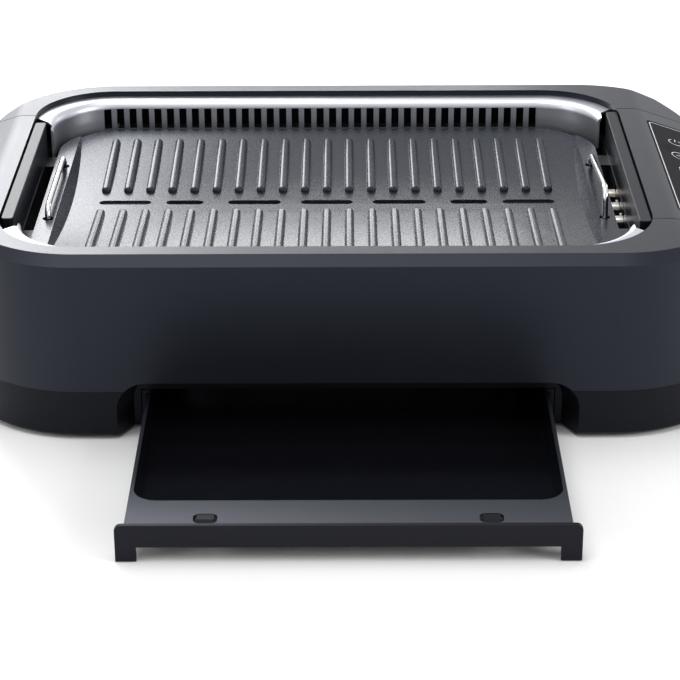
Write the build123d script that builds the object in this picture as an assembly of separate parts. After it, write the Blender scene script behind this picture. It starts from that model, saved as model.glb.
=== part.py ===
from build123d import *
import os
from math import asin, atan, cos, degrees, radians, sin, tan

# A table-top electric grill with a smoke fan, seen without its lid.
# Millimetres. The origin is on the table under the middle of the body,
# +X to the right of a person facing it, +Y to the back, +Z up.
# The drip drawer is drawn out, as it is found, and everything else is at rest.

# Body shell
body_w = 526.0
body_d = 349.0
body_corner_r = 87.0
rim_z = 130.0
bevel_out = 7.1
bevel_drop = 6.3
wall = 2.6
top_t = 3.0
seam_z = 35.2
seam_gap = 0.4
base_inset = 0.6
base_chamfer = 1.8
floor_t = 2.5
tongue_t = 1.0
tongue_h = 3.2
fit_gap = 0.3
touch_gap = 0.05

# Rim opening over the cooking well, a little left of the middle to leave room for the controls
left_rim_w = 30.9
right_rim_w = 60.1
end_rim_w = 19.7
well_r = 55.0
collar_t = 2.4
collar_h = 11.0

# Side panels, with a flat strip along the well and a shoulder that slopes down outside a fold line
left_fold_in = 19.0
right_fold_in = 46.0
shoulder_deg = 18.5
shoulder_round_r = 24.0
panel_h = 34.0
panel_gap = 0.8
left_panel_ends = (71.0, 75.0)
right_panel_ends = (66.5, 63.5)
panel_tab_t = 1.5
panel_tab_h = 7.0

# Touch glass and the board under it
glass_margin = 5.0
glass_w = 38.0
glass_end = 83.0
glass_r = 4.0
glass_t = 1.2
glass_recess = 1.4
glass_gap = 0.3
board_w = 30.0
board_short = 33.0
board_t = 1.6
board_drop = 7.6
board_post_r = 2.5

# Silver liners that line the front and the back of the well
lip_gap = 0.4
lip_side_w = 13.6
lip_end_w = 11.9
liner_r = 47.0
liner_t = 1.6
lip_drop = 4.0
lip_round_r = 6.0
liner_below = 7.4
liner_end_gap = 5.0
liner_foot_gap = 2.5
vent_count = 35
vent_margin = 41.15
vent_w = 5.5
vent_h = 16.0
vent_foot_h = 3.7
vent_shift = -6.0

# Dark guards along the two short sides of the well
guard_gap = 1.0
guard_w = 8.2
guard_t = 1.5
guard_drop = 1.4
guard_r = 2.4
left_guard_ends = (52.8, 66.8)
right_guard_ends = (44.8, 46.3)

# Grill plate; the slots' places are counted in rib pitches from the middle
plate_side_gap = 8.7
plate_end_gap = 12.3
plate_r = 46.0
plate_drop = 22.1
ledge_t = 4.0
ledge_w = 12.3
ledge_d = 3.0
recess_draft = 6.0
valley_drop = 8.5
floor_plate_t = 4.0
recess_wall_t = 2.0
rib_count = 21
rib_margin = 28.0
rib_w = 6.4
rib_end_gap = 17.7
rib_h = 4.3
rib_round_r = 2.8
rib_start = 19.0
rib_root = 3.0
slot_w = 7.6
slot_open = ((0.0, 37.0), (3.24, 37.6), (6.35, 26.5))
slot_blind = (9.02, 37.0)
slot_blind_depth = 1.6

# Heater cast into a ridge under the plate, and the plugs at its right-hand end
term_drop = 14.1
heater_r = 3.5
heater_left_gap = 22.0
heater_right_gap = 37.0
heater_end_gap = 35.2
heater_bend_r = 18.0
ridge_w = 13.0
ridge_below = 5.5
plug_r = 4.5
plug_pitch = 25.5
plug_mid_y = 0.0
plug_reach = 21.7
probe_r = 2.5
probe_l = 61.0
carrier_t = 6.0
carrier_gap = 0.5
carrier_margin = 5.5
tip_axis_back = 3.4

# Wire handles, loose in their holes so that they pull up before they lift the plate
handle_in = 7.3
handle_half_span = 51.0
handle_wire_r = 2.0
handle_bar_rise = 7.8
handle_bend_r = 8.0
handle_hook = 6.0
handle_hook_r = 3.0
handle_lift = 14.0
handle_hole_r = 3.8
handle_tilt_deg = 7.0

# Steel tub that hangs under the well and funnels the drips
tub_t = 1.0
tub_r = 45.0
tub_end_gap = 1.9
tub_deep = 42.2
flange_end_gap = 1.3
chute_side_gap = 15.5
chute_end_gap = 43.0
chute_r = 20.0
chute_low_z = 33.0
rest_gap = 0.3
rest_in = 12.2
rest_w = 20.0
rest_reach = 12.0
rest_t = 1.2
rest_h = 22.0

# Socket block that the plugs enter
block_l = 19.0
block_h = 18.4
block_margin = 10.0
socket_w = 12.0
socket_h = 15.4
socket_depth = 15.0
clip_r = 6.05
clip_bore_r = 5.6
clip_l = 4.0
clip_slit = 3.0

# Drawer mouth in the front, narrowing inward
mouth_in = 110.7
mouth_narrow = 10.3
mouth_top_z = 41.3
mouth_r = 20.0
mouth_depth = 18.0
tunnel_t = 2.2

# Drip drawer
drawer_out = 161.0
drawer_pull = 100.0
drawer_shut_inset = 2.5
front_over_w = 6.0
front_top_z = 25.0
front_h = 15.0
front_t = 3.0
front_r = 4.0
leg_w = 12.7
leg_z = 0.5
leg_depth = 8.0
leg_t = 2.0
tray_side_gap = 8.5
tray_short = 49.0
tray_wall = 2.25
tray_floor_t = 2.0
tray_r = 15.0
tray_clear = 0.4
shelf_l = 31.0
shelf_t = 2.0
skirt_h = 13.0
clip_in = 54.0
clip_back = 8.9
window_w = 14.5
window_d = 11.5
window_r = 4.0
boss_w = 10.5
boss_d = 8.0
boss_rise = 0.5
arm_t = 2.3

# Rails that guide the drawer
rail_gap = 0.7
rail_t = 2.5
rail_lip_w = 2.4
rail_lip_t = 2.4
rail_over = 0.6
rail_foot_w = 7.0
rail_foot_t = 2.0
rail_foot_start = 9.0
rail_stop_w = 16.0

# Smoke fan in the right rear corner, a flat scroll with its inlet on top
fan_in = 67.5
fan_back = 79.5
scroll_r = 42.0
scroll_t = 2.0
scroll_h = 37.0
scroll_lift = 1.0
outlet_w = 34.0
outlet_gap = 1.9
inlet_r = 29.0
spoke_count = 6
cover_t = 2.0
impeller_r = 37.0
impeller_h = 24.0
impeller_lift = 4.0
blade_count = 24
blade_l = 10.0
blade_turn = 35.0
tie_w = 3.6
blade_t = 1.3
disc_t = 1.5
cup_r = 24.0
cup_t = 1.5
cup_h = 22.0
motor_r = 21.0
motor_h = 20.0
shaft_r = 2.5
shaft_fit = 0.06
fan_lug_r = 5.0

# Exhaust grille in the back of the base
grille_margin = 3.0
grille_t = 1.6
grille_slats = 5
slat_t = 1.6
exhaust_z = (10.0, 32.0)

# Power board on the left
power_in = 59.0
power_y = 0.0
power_w = 70.0
power_l = 116.0
standoff_h = 7.0
standoff_r = 3.2
relay_w = 20.0
relay_l = 28.0
relay_h = 16.0
relay_x = -15.0
relay_y = -16.0
can_r = 9.0
can_h = 22.0
can_x = 14.0
can_y = -22.0
sink_w = 40.0
sink_t = 4.0
sink_h = 26.0
sink_y = 16.0
fin_count = 5
fin_l = 17.0
fin_t = 2.0

# Rows of cooling slots in the floor
cool_count = 6
cool_pitch = 12.9
cool_l = 35.0
cool_w = 2.5
fan_cool_gap = 133.7

# Safety thermostat under the tub
cutout_r = 8.0
cutout_h = 9.0
cutout_ear = 14.0
cutout_ear_w = 8.0
cutout_ear_t = 1.5

# Cord gland in the back of the base; the cord itself is not part of this
gland_in = 113.0
gland_z = 20.0
gland_bore_r = 3.6
gland_body_r = 6.0
gland_flange_r = 8.5
gland_flange_t = 2.0
gland_boot_l = 5.0
gland_nut_t = 5.0

# Feet and fasteners
foot_h = 2.5
foot_r = 10.0
foot_in = 58.0
foot_back = 49.5
foot_stem_r = 3.0
foot_stem_h = 2.9
post_r = 4.5
post_in = 8.8
post_top_z = 60.0
post_web_z = 41.0
boss_r = 5.5
boss_h = 9.5
screw_r = 1.7
screw_head_r = 3.3
screw_head_h = 2.2
screw_l = 16.0
side_post_y = 60.0
front_post_gap = 17.7
rear_post_in = 143.0
tub_post_in = 45.0
tub_post_r = 3.0
small_screw_r = 1.5
small_head_r = 2.8
small_head_h = 1.8

# Body values that follow from the sizes above
half_w = body_w / 2
half_d = body_d / 2
slope = radians(shoulder_deg)
base_z = foot_h
base_top_z = seam_z - seam_gap
floor_z = base_z + floor_t
panel_low_z = rim_z - panel_h
left_fold_x = -half_w + left_fold_in
right_fold_x = half_w - right_fold_in
left_panel_y = (left_panel_ends[0] - half_d, half_d - left_panel_ends[1])
right_panel_y = (right_panel_ends[0] - half_d, half_d - right_panel_ends[1])
glass_l = 2 * (half_d - glass_end)
board_l = glass_l - board_short
foot_x = half_w - foot_in
foot_y = half_d - foot_back

# Well and liners
well_left = -half_w + left_rim_w
well_right = half_w - right_rim_w
well_x = (well_left + well_right) / 2
well_half_w = (well_right - well_left) / 2
well_half_d = half_d - end_rim_w
lip_z = rim_z - lip_drop
liner_half_w = well_half_w - lip_gap - lip_side_w
liner_half_d = well_half_d - lip_gap - lip_end_w
vent_pitch = 2 * (liner_half_w - vent_margin) / (vent_count - 1)
guard_top_z = rim_z - guard_drop
guard_out = well_half_w - guard_gap
guard_in = guard_out - guard_w
left_guard_y = (left_guard_ends[0] - well_half_d, well_half_d - left_guard_ends[1])
right_guard_y = (right_guard_ends[0] - well_half_d, well_half_d - right_guard_ends[1])

# Tub and plate
tub_half_w = guard_in - fit_gap
tub_half_d = liner_half_d + liner_t + tub_end_gap
ledge_z = rim_z - plate_drop
liner_low_z = ledge_z - liner_below
vent_z = liner_low_z + vent_foot_h
rest_top_z = ledge_z - ledge_t - rest_gap
flange_top_z = ledge_z - ledge_t + fit_gap
flange_low_z = flange_top_z - tub_t
flange_half_d = well_half_d - flange_end_gap
tub_floor_z = flange_top_z - tub_deep
plate_half_w = tub_half_w - plate_side_gap
plate_half_d = liner_half_d - plate_end_gap
recess_half_w = plate_half_w - ledge_w
recess_half_d = plate_half_d - ledge_d
valley_z = ledge_z - valley_drop
valley_r = (recess_half_d ** 2 + valley_drop ** 2) / (2 * valley_drop)
rib_pitch = 2 * (recess_half_w - rib_margin) / (rib_count - 1)
rib_l = recess_half_d - rib_start - rib_end_gap
rest_y = plate_half_d - plate_r - rest_in
tub_post_x = tub_half_w - tub_post_in
tub_post_y = flange_half_d - tub_post_r

# Heater, plugs and handles
term_z = ledge_z - term_drop
heater_left = recess_half_w - heater_left_gap
heater_right = recess_half_w - heater_right_gap
heater_half_d = recess_half_d - heater_end_gap
probe_inner = recess_half_w - probe_l
plug_inner = recess_half_w + recess_wall_t
plug_ys = (plug_mid_y - plug_pitch, plug_mid_y, plug_mid_y + plug_pitch)
plug_tip_x = well_x + plate_half_w + plug_reach
tip_axis_x = plug_tip_x - tip_axis_back
handle_x = plate_half_w - handle_in
hook_z = ledge_z - ledge_t - fit_gap - handle_lift - handle_wire_r

# Drawer, its mouth, its rails and the chute over it
mouth_half_w = half_w - mouth_in
mouth_inner_half_w = mouth_half_w - mouth_narrow
mouth_back_y = -half_d + mouth_depth
front_y = -half_d + drawer_shut_inset - drawer_out
tray_half_w = mouth_inner_half_w - tray_side_gap
tray_l = body_d - tray_short
tray_z = floor_z + tray_clear
tray_rear_y = front_y + tray_l
tray_shut_y = tray_rear_y + drawer_out
front_half_w = tray_half_w + front_over_w
clip_x = front_half_w - clip_in
rail_in = tray_half_w + rail_gap
rail_out = rail_in + rail_t
rail_top_z = front_top_z + rail_over + rail_lip_t
chute_half_w = tray_half_w - chute_side_gap
chute_half_d = tub_half_d - chute_end_gap
front_post_x = mouth_half_w + front_post_gap
rear_post_x = half_w - rear_post_in

# Fan, power board and cord gland
fan_x = half_w - fan_in
fan_y = half_d - fan_back
fan_cool_y = fan_y - fan_cool_gap
scroll_z = floor_z + scroll_lift
cover_z = scroll_z + scroll_h
outlet_left = fan_x - scroll_r
fan_floor_z = scroll_z + scroll_t
impeller_z = fan_floor_z + impeller_lift
power_x = -half_w + power_in
gland_x = -half_w + gland_in


def save(name, shape):
    """Write one sub-part to its own file."""
    export_step(shape, f"parts/{name}.step")


def block(x0, x1, y0, y1, z0, z1):
    """A straight block between two corners."""
    return Pos((x0 + x1) / 2, (y0 + y1) / 2, (z0 + z1) / 2) * Box(x1 - x0, y1 - y0, z1 - z0)


def slab(half_x, half_y, r, z0, z1, x=0.0, y=0.0):
    """A flat plate with rounded corners."""
    return Pos(x, y, z0) * extrude(RectangleRounded(2 * half_x, 2 * half_y, r), z1 - z0)


def upright(r, x, y, z0, z1):
    """A round post along Z."""
    return Pos(x, y, (z0 + z1) / 2) * Cylinder(r, z1 - z0)


def along_x(r, x0, x1, y, z):
    """A round bar along X."""
    return Pos((x0 + x1) / 2, y, z) * Rot(0, 90, 0) * Cylinder(r, x1 - x0)


def along_y(r, y0, y1, x, z):
    """A round bar along Y."""
    return Pos(x, (y0 + y1) / 2, z) * Rot(90, 0, 0) * Cylinder(r, y1 - y0)


def prism_x(points, x0, x1):
    """A prism along X with its outline given as (Y, Z) points."""
    face = make_face(Plane.YZ * Polyline(*points, close=True))
    return Pos(x0, 0, 0) * extrude(face, x1 - x0, dir=(1, 0, 0))


def prism_y(points, y0, y1):
    """A prism along Y with its outline given as (X, Z) points."""
    face = make_face(Plane.XZ * Polyline(*points, close=True))
    return Pos(0, y0, 0) * extrude(face, y1 - y0, dir=(0, 1, 0))


def all_four(x, y):
    """The four corners of a rectangle about the origin."""
    return [(sx * x, sy * y) for sx in (-1, 1) for sy in (-1, 1)]


def above_shoulder(fold_x, side, top_z):
    """Everything above the sloped shoulder outside a softly rounded fold."""
    reach = half_w
    bend = shoulder_round_r
    start_x = fold_x - side * bend * tan(slope / 2)
    arc = [(start_x + side * bend * sin(a), top_z - bend * (1 - cos(a))) for a in (0, slope / 2, slope)]
    fold = ThreePointArc(*arc)
    outside = Polyline(
        arc[2], (fold_x + side * reach, top_z - reach * tan(slope)),
        (fold_x + side * reach, top_z + top_t), (start_x, top_z + top_t), arc[0])
    face = make_face(Plane.XZ * (fold + outside))
    return Pos(0, -half_d - wall, 0) * extrude(face, 2 * (half_d + wall), dir=(0, 1, 0))


def body_form(inset, low_z, drop):
    """The outside of the body, or the same form set in by a wall."""
    bevel_z = rim_z - bevel_drop - drop / 2
    rise = rim_z - drop - bevel_z
    outline = RectangleRounded(
        body_w - 2 * inset, body_d - 2 * inset, body_corner_r - inset)
    form = Pos(0, 0, low_z) * extrude(outline, bevel_z - low_z)
    taper = degrees(atan(bevel_out / bevel_drop))
    form += Pos(0, 0, bevel_z) * extrude(outline, rise, taper=taper)
    form -= above_shoulder(left_fold_x, -1, rim_z - drop)
    form -= above_shoulder(right_fold_x, 1, rim_z - drop)
    return form


def mouth_section(half_width, grow, y):
    """The drawer mouth's outline at one depth."""
    plane = Plane(origin=(0, y, 0), x_dir=(1, 0, 0), z_dir=(0, -1, 0))
    return plane * RectangleRounded(
        2 * (half_width + grow), 2 * (mouth_top_z + grow), mouth_r + grow)


def mouth_form(grow, front, back):
    """The space of the drawer mouth, grown by a wall where asked."""
    taper = (mouth_half_w - mouth_inner_half_w) / mouth_depth
    near = mouth_half_w - taper * (front + half_d)
    far = mouth_half_w - taper * (back + half_d)
    return loft([mouth_section(near, grow, front), mouth_section(far, grow, back)])


def post_places():
    """Where the eight posts stand that the base is screwed to."""
    side_x = half_w - post_in
    end_y = half_d - post_in
    ends = [(side * front_post_x, -end_y) for side in (-1, 1)]
    ends += [(side * rear_post_x, end_y) for side in (-1, 1)]
    return all_four(side_x, side_post_y) + ends


def body_shell():
    """The whole upper shell before its side panels are parted off."""
    shell = body_form(0, seam_z, 0) - body_form(wall, seam_z - 1, top_t)
    shell += slab(well_half_w + collar_t, well_half_d + collar_t, well_r + collar_t,
                  rim_z - collar_h, rim_z - top_t / 2, well_x)
    shell -= slab(well_half_w, well_half_d, well_r, rim_z - 2 * collar_h, rim_z + 1, well_x)
    return shell


def panel_zone(side, y_range, grow):
    """The region of the shell that a side panel takes up."""
    inner = well_left + wall if side < 0 else well_right - wall
    x0, x1 = sorted((inner, side * (half_w + wall)))
    return block(x0, x1, y_range[0] - grow, y_range[1] + grow, panel_low_z - grow, rim_z + wall)


def upper_housing():
    """Shell of the body, with posts for the screws from below."""
    housing = body_shell()
    housing -= panel_zone(-1, left_panel_y, panel_gap)
    housing -= panel_zone(1, right_panel_y, panel_gap)
    posts = []
    for x, y in post_places():
        posts.append(upright(post_r, x, y, base_z + boss_h + fit_gap, post_top_z))
        if abs(y) > side_post_y:
            edge = half_d - wall / 2
            y0, y1 = sorted((y, edge if y > 0 else -edge))
            posts.append(block(x - wall / 2, x + wall / 2, y0, y1, post_web_z, post_top_z))
        else:
            edge = half_w - wall / 2
            x0, x1 = sorted((x, edge if x > 0 else -edge))
            posts.append(block(x0, x1, y - wall / 2, y + wall / 2, post_web_z, post_top_z))
    housing = housing.fuse(*posts)
    for x, y in post_places():
        housing -= upright(screw_r, x, y, base_z, base_z + boss_h + screw_l)
    return housing - mouth_form(0, -half_d - wall, mouth_back_y)


def side_panel(side, y_range):
    """A side cover: its skirt hooks behind the housing wall with a tab."""
    panel = body_shell() & panel_zone(side, y_range, 0)
    tab = body_form(wall - touch_gap, panel_low_z, top_t) - body_form(
        wall + fit_gap + panel_tab_t, panel_low_z - 1, top_t)
    hook = body_form(wall + fit_gap, panel_low_z - panel_tab_h, top_t) - body_form(
        wall + fit_gap + panel_tab_t, panel_low_z - panel_tab_h - 1, top_t)
    x0, x1 = sorted((side * (half_w - 4 * wall), side * (half_w + wall)))
    reach = block(x0, x1, y_range[0] + wall, y_range[1] - wall,
                  panel_low_z - panel_tab_h, panel_low_z + panel_tab_h)
    return panel + ((tab + hook) & reach)


def shoulder_plane():
    """The sloped top of the right shoulder, X along the slope and Z out of it."""
    return Plane(origin=(right_fold_x, 0, rim_z), x_dir=(cos(slope), 0, -sin(slope)),
                 z_dir=(sin(slope), 0, cos(slope)))


def on_shoulder(shape, across, y, height):
    """Set a shape on the sloped shoulder."""
    return shoulder_plane() * Pos(across, y, height) * shape


glass_mid = glass_margin + glass_w / 2


def board_corners():
    """Where the control board is held, along the slope and along Y."""
    inset = 2 * board_post_r
    return [(glass_mid + x, y) for x, y in all_four(board_w / 2 - inset, board_l / 2 - inset)]


def right_control_panel():
    """The right cover, with the glass seat on top and posts for the board."""
    panel = side_panel(1, right_panel_y)
    post = Cylinder(board_post_r, board_drop - top_t / 2, align=(Align.CENTER, Align.CENTER, Align.MIN))
    for across, y in board_corners():
        panel += on_shoulder(post, across, y, -board_drop)
    seat = extrude(RectangleRounded(glass_w, glass_l, glass_r), 2 * glass_recess)
    panel -= on_shoulder(seat, glass_mid, 0, -glass_recess)
    return panel


def touch_glass():
    """Flat dark glass that covers the touch keys."""
    pane = extrude(RectangleRounded(glass_w - 2 * glass_gap, glass_l - 2 * glass_gap,
                                    glass_r - glass_gap), glass_t)
    return on_shoulder(pane, glass_mid, 0, -glass_recess)


def control_board():
    """Circuit board with the touch pads and the display driver."""
    low = (Align.CENTER, Align.CENTER, Align.MIN)
    high = (Align.CENTER, Align.CENTER, Align.MAX)
    board = on_shoulder(Box(board_w, board_l, board_t, align=high), glass_mid, 0, -board_drop)
    pad = Cylinder(board_w / 8, 2 * board_t, align=low)
    for place in (-2, -1, 0, 1, 2):
        board += on_shoulder(pad, glass_mid, place * board_l / 6, -board_drop - board_t / 2)
    chip = Box(board_w / 3, board_w / 3, board_t, align=high)
    board += on_shoulder(chip, glass_mid, 0, -board_drop - board_t / 2)
    return board


def liner(side):
    """Silver sheet liner: a rolled lip over a wall, with vents for the smoke."""
    left_y = left_guard_y[1] if side > 0 else -left_guard_y[0]
    right_y = right_guard_y[1] if side > 0 else -right_guard_y[0]
    outer_w = well_half_w - lip_gap
    outer_d = well_half_d - lip_gap
    outer_r = well_r - lip_gap
    lip = slab(outer_w, outer_d, outer_r, lip_z - liner_t, lip_z, well_x)
    wall_out = slab(liner_half_w + liner_t, liner_half_d + liner_t, liner_r + liner_t,
                    liner_low_z, lip_z - liner_t / 2, well_x)
    inside = slab(liner_half_w, liner_half_d, liner_r, liner_low_z - 1, lip_z + 1, well_x)
    ring = lip + wall_out - inside
    underside = ring.faces().filter_by(Axis.Z).group_by(Axis.Z)[-2][0]
    ring = fillet(underside.inner_wires()[0].edges(), lip_round_r - liner_t)
    top = ring.faces().sort_by(Axis.Z)[-1]
    ring = fillet(top.inner_wires()[0].edges(), lip_round_r)
    keep = []
    for x_side, end_y in ((-1, left_y), (1, right_y)):
        lip_y = end_y + liner_end_gap
        wall_y = end_y - liner_foot_gap
        inner_x = well_x + x_side * (liner_half_w - 1)
        wall_x = well_x + x_side * (liner_half_w + liner_t)
        edge_x = well_x + x_side * (well_half_w + 1)
        outline = [
            (well_x, wall_y), (wall_x, wall_y), (wall_x, lip_y),
            (edge_x, lip_y + lip_side_w), (edge_x, half_d), (well_x, half_d),
        ]
        face = make_face(Polyline(*[(x, side * y) for x, y in outline], close=True))
        solid = extrude(face, 2 * rim_z, dir=(0, 0, 1))
        keep.append(solid)
    piece = ring & (keep[0] + keep[1])
    slot = Box(vent_w, 6 * liner_t, vent_h)
    mid = side * (liner_half_d + liner_t / 2)
    first = well_x + vent_shift - vent_pitch * (vent_count - 1) / 2
    cuts = [Pos(first + n * vent_pitch, mid, vent_z + vent_h / 2) * slot for n in range(vent_count)]
    return piece.cut(*cuts)


def side_guard(side, y_range):
    """Dark channel that closes the short side of the well, open below."""
    x0, x1 = sorted((well_x + side * guard_in, well_x + side * guard_out))
    bar = block(x0, x1, y_range[0], y_range[1], flange_top_z, guard_top_z)
    bar = fillet(bar.edges().filter_by(Axis.Z), guard_r)
    bar = chamfer(bar.faces().sort_by(Axis.Z)[-1].edges(), guard_t / 3)
    hollow = block(x0 + guard_t, x1 - guard_t, y_range[0] + guard_t, y_range[1] - guard_t,
                   flange_top_z - 1, guard_top_z - guard_t)
    return bar - hollow


def valley_form(half_x, top_z):
    """The shallow trough over the plate's curved floor, or the solid under it."""
    curve = ThreePointArc((-recess_half_d, top_z), (0, top_z - valley_drop), (recess_half_d, top_z))
    face = make_face(Plane.YZ * (curve + Line((recess_half_d, top_z), (-recess_half_d, top_z))))
    return Pos(well_x - half_x, 0, 0) * extrude(face, 2 * half_x, dir=(1, 0, 0))


def heater_route(end_x, z):
    """The heater's line: out along the back, round the left end and back along the front."""
    low_y, high_y = plug_ys[0], plug_ys[2]
    points = [
        (end_x, high_y), (heater_right, high_y), (heater_right, heater_half_d),
        (-heater_left, heater_half_d), (-heater_left, -heater_half_d),
        (heater_right, -heater_half_d), (heater_right, low_y), (end_x, low_y),
    ]
    return FilletPolyline(*[(well_x + x, y, z) for x, y in points], radius=heater_bend_r)


def heater_ridge():
    """The cast ridge that holds the heater and the probe, up to the middle of the plate."""
    low_z = term_z - ridge_below
    height = ledge_z - low_z
    route = heater_route(plug_inner, low_z + height / 2)
    start = Plane(origin=route @ 0, x_dir=(0, 1, 0), z_dir=(-1, 0, 0))
    ridge = sweep(start * Rectangle(ridge_w, height), path=route)
    ridge += block(well_x + probe_inner - ridge_w / 2, well_x + recess_half_w, plug_mid_y - ridge_w / 2,
                   plug_mid_y + ridge_w / 2, low_z, ledge_z)
    middle_z = ledge_z - floor_plate_t / 2
    under = block(well_x - recess_half_w, well_x + recess_half_w, -recess_half_d, recess_half_d,
                  low_z - 1, middle_z)
    return ridge & (under - valley_form(recess_half_w + 1, middle_z))


def plate_ribs():
    """Two rows of rounded ribs that follow the curved floor."""
    rib = extrude(SlotOverall(rib_l, rib_w, rotation=90), rib_h + rib_root)
    rib = fillet(rib.faces().sort_by(Axis.Z)[-1].edges(), rib_round_r)
    mid_y = rib_start + rib_l / 2
    lean = asin(mid_y / valley_r)
    mid_z = valley_z + valley_r * (1 - cos(lean)) - rib_root
    ribs = []
    for side in (-1, 1):
        for n in range(rib_count):
            x = well_x + (n - (rib_count - 1) / 2) * rib_pitch
            ribs.append(Pos(x, side * mid_y, mid_z) * Rot(side * degrees(lean), 0, 0) * rib)
    return ribs


def drip_slots():
    """Cuts along the valley: through in the middle, blind at the ends."""
    cuts = []
    for place, length in slot_open:
        offset = place * rib_pitch
        for x in sorted({-offset, offset}):
            cut = extrude(SlotOverall(length, slot_w), 2 * ledge_t + floor_plate_t)
            cuts.append(Pos(well_x + x, 0, valley_z - 2 * floor_plate_t) * cut)
    place, length = slot_blind
    for x in (-place * rib_pitch, place * rib_pitch):
        cut = extrude(SlotOverall(length, slot_w), ledge_t)
        cuts.append(Pos(well_x + x, 0, valley_z - slot_blind_depth) * cut)
    return cuts


def grill_plate():
    """Cast plate with a shallow valley, ribs, drip slots and the heater's ridge below."""
    low = ledge_z - ledge_t
    plate = slab(plate_half_w, plate_half_d, plate_r, low, ledge_z, well_x)
    outline = slab(plate_half_w, plate_half_d, plate_r, valley_z - 2 * floor_plate_t, ledge_z, well_x)
    plate += valley_form(recess_half_w + recess_wall_t, ledge_z - floor_plate_t) & outline
    plate += heater_ridge()
    space = valley_form(recess_half_w, ledge_z)
    base_half = recess_half_w - recess_draft
    ends = [
        (-base_half, valley_z), (base_half, valley_z), (recess_half_w, ledge_z),
        (-recess_half_w, ledge_z),
    ]
    plate -= space & (Pos(well_x, 0, 0) * prism_y(ends, -recess_half_d, recess_half_d))
    plate = plate.fuse(*plate_ribs())
    plate = plate.cut(*drip_slots())
    for x, y in all_four(handle_x, handle_half_span):
        plate -= upright(handle_hole_r, well_x + x, y, low - 1, ledge_z + 1)
    plate -= heating_element()
    plate -= along_x(probe_r, well_x + probe_inner, well_x + plug_inner, plug_mid_y, term_z)
    return plate


def heating_element():
    """Tubular heater, bent in one plane."""
    route = heater_route(plug_inner, term_z)
    start = Plane(origin=route @ 0, z_dir=route % 0)
    return sweep(start * Circle(heater_r), path=route)


def plug(y):
    """A metal sleeve that sticks out of the plate's right-hand end."""
    bar = along_x(plug_r, well_x + plug_inner, plug_tip_x, y, term_z)
    return chamfer(bar.faces().sort_by(Axis.X)[-1].edges(), plug_r / 5)


def temperature_probe():
    """Sensor rod under the plate, with a sleeve like the heater's plugs."""
    return plug(plug_mid_y) + along_x(probe_r, well_x + probe_inner, well_x + plug_inner + 1,
                                      plug_mid_y, term_z)


def terminal_carrier():
    """Ceramic block under the plate's edge that holds the three sleeves."""
    x0 = well_x + recess_half_w + recess_wall_t + carrier_gap
    carrier = block(x0, x0 + carrier_t, plug_ys[0] - carrier_margin, plug_ys[2] + carrier_margin,
                    term_z - carrier_margin, ledge_z - ledge_t)
    for y in plug_ys:
        carrier -= along_x(plug_r, x0 - 1, x0 + carrier_t + 1, y, term_z)
    return carrier


def wire_handle(side):
    """Bent wire loop; its feet hook under the plate when it is pulled up."""
    x = well_x + side * handle_x
    bar_z = ledge_z + handle_bar_rise
    half = [
        (handle_half_span + handle_hook, hook_z), (handle_half_span, hook_z), (handle_half_span, bar_z),
    ]
    points = [(x, -y, z) for y, z in half] + [(x, y, z) for y, z in reversed(half)]
    bends = (handle_hook_r, handle_bend_r, handle_bend_r, handle_hook_r)
    route = FilletPolyline(*points, radius=bends)
    return sweep(Plane(origin=route @ 0, z_dir=route % 0) * Circle(handle_wire_r), path=route)


def tilted_handle(side):
    """A handle that stands with its front foot pulled up, about its rear hole."""
    tip = Pos(0, handle_half_span, ledge_z)
    return tip * Rot(-handle_tilt_deg, 0, 0) * tip.inverse() * wire_handle(side)


def inner_tub():
    """Pressed steel tub: flange, walls, floor and a chute down to the drawer."""
    outer_w = tub_half_w + tub_t
    outer_d = tub_half_d + tub_t
    outer_r = tub_r + tub_t
    flange_w = guard_out - fit_gap
    tub = slab(flange_w, flange_half_d, well_r, flange_low_z, flange_top_z, well_x)
    tub += slab(outer_w, outer_d, outer_r, tub_floor_z, flange_top_z, well_x)
    tub += slab(chute_half_w, chute_half_d, chute_r, chute_low_z, tub_floor_z + tub_t)
    tub -= slab(tub_half_w, tub_half_d, tub_r, tub_floor_z + tub_t, flange_top_z + 1, well_x)
    tub -= slab(chute_half_w - tub_t, chute_half_d - tub_t, chute_r - tub_t, chute_low_z - 1,
                tub_floor_z + 2 * tub_t)
    for y in plug_ys:
        tub -= socket_hole(y, well_x + tub_half_w - 1, well_x + outer_w + 1)
    for x, y in tub_post_places():
        tub -= upright(screw_r, x, y, flange_low_z - 1, flange_top_z + 1)
    for y in block_screw_ys():
        tub -= along_x(small_screw_r, well_x + tub_half_w - 1, well_x + outer_w + 1, y, term_z)
    return tub


def socket_hole(y, x0, x1):
    """A tall rounded hole that lets a plug tip as the plate is raised."""
    cut = extrude(SlotOverall(socket_h, socket_w), x1 - x0)
    return Pos(x0, y, term_z) * Rot(0, 90, 0) * cut


def block_screw_ys():
    """The socket block's two screws sit between its three holes."""
    return [plug_mid_y - plug_pitch / 2, plug_mid_y + plug_pitch / 2]


block_x = well_x + tub_half_w + tub_t


def terminal_block():
    """Moulded socket block behind the tub wall."""
    body = block(block_x, block_x + block_l, plug_ys[0] - block_margin, plug_ys[2] + block_margin,
                 term_z - block_h / 2, term_z + block_h / 2)
    for y in plug_ys:
        body -= socket_hole(y, block_x - 1, block_x + socket_depth)
        body -= along_x(clip_r, tip_axis_x - clip_l / 2, tip_axis_x + clip_l / 2, y, term_z)
    for y in block_screw_ys():
        body -= along_x(small_screw_r, block_x - 1, block_x + block_l + 1, y, term_z)
    return body


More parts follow.
